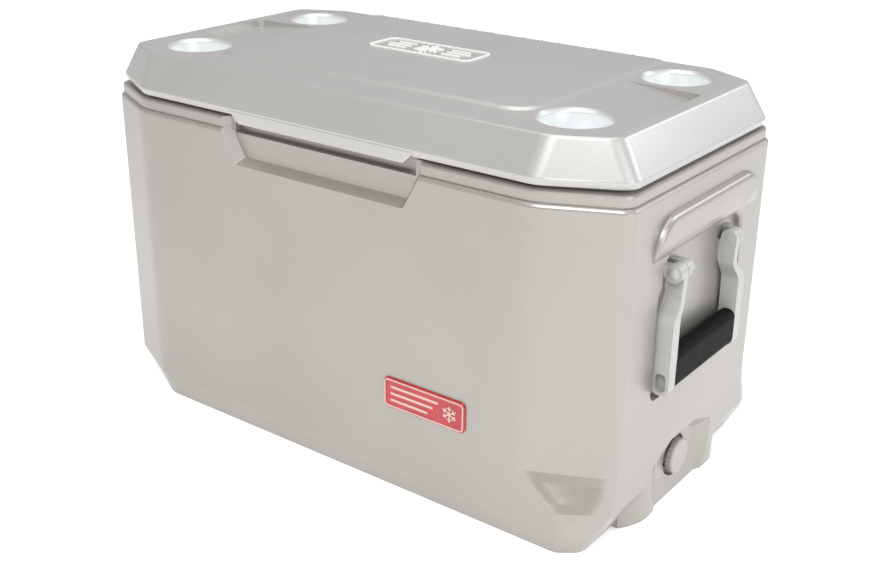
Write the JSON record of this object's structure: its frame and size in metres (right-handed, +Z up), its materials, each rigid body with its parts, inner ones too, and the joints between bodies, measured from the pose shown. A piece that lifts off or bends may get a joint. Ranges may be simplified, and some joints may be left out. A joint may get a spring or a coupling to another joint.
{
  "type": "chest cooler",
  "caption": "Insulated chest cooler with a hinged lid, cup holders and trays in the lid, swinging end handles, a finger scoop and a drain.",
  "frame": {"origin": "middle of the footprint, on the floor", "axes": "+X along the front towards the drain end, -Y out of the front, +Z up"},
  "size_m": [0.7548, 0.4122, 0.4439],
  "materials": {
    "shell_plastic": "satin moulded polyethylene, pearl off-white",
    "liner_plastic": "smooth white moulded polypropylene",
    "lid_plastic": "satin moulded polyethylene, pearl off-white",
    "foam": "closed-cell foam, sealed inside",
    "emblem_white": "pale print and raised marks",
    "badge_red": "glossy red plate",
    "badge_pale": "pale raised border and marks",
    "handle_plastic": "satin moulded polypropylene",
    "grip_black": "matt near-black sleeve",
    "hinge_plastic": "satin moulded acetal",
    "steel": "stainless",
    "drain_plastic": "smooth white moulded plastic",
    "gasket": "soft black seal"
  },
  "bodies": {
    "body": {"outer_shell": "shell_plastic", "rim_band": "shell_plastic", "inner_liner": "liner_plastic", "foam_core": "foam", "badge_plate": "badge_red", "badge_emblem": "badge_pale", "handle_right_pins": "handle_plastic", "handle_right_brackets": "handle_plastic", "handle_left_pins": "handle_plastic", "handle_left_brackets": "handle_plastic", "hinge_left_base": "hinge_plastic", "hinge_right_base": "hinge_plastic", "hinge_left_pin": "steel", "hinge_right_pin": "steel", "hinge_base_screws": "steel", "drain_tube": "drain_plastic", "drain_gasket": "gasket", "drain_nut": "drain_plastic"},
    "lid": {"lid_shell": "lid_plastic", "lid_pan": "liner_plastic", "lid_foam": "foam", "lid_emblem": "emblem_white", "lid_ruler": "lid_plastic", "hinge_left_flap": "hinge_plastic", "hinge_right_flap": "hinge_plastic", "hinge_flap_screws": "steel"},
    "handle_right": {"handle_right_frame": "handle_plastic", "handle_right_grip": "grip_black"},
    "handle_left": {"handle_left_frame": "handle_plastic", "handle_left_grip": "grip_black"},
    "drain_cap": {"drain_cap": "drain_plastic"}
  },
  "joints": [
    {"name": "lid_hinge", "type": "hinge", "parent": "body", "child": "lid", "pos_m": [0, 0.205, 0.392], "axis": [-1, 0, 0], "range_deg": [0, 100]},
    {"name": "handle_right_swing", "type": "hinge", "parent": "body", "child": "handle_right", "pos_m": [0.366, 0, 0.288], "axis": [0, -1, 0], "range_deg": [0, 90]},
    {"name": "handle_left_swing", "type": "hinge", "parent": "body", "child": "handle_left", "pos_m": [-0.366, 0, 0.288], "axis": [0, 1, 0], "range_deg": [0, 90]},
    {"name": "drain_cap_pull", "type": "slide", "parent": "body", "child": "drain_cap", "axis": [1, 0, 0], "range_m": [0, 0.03]}
  ]
}
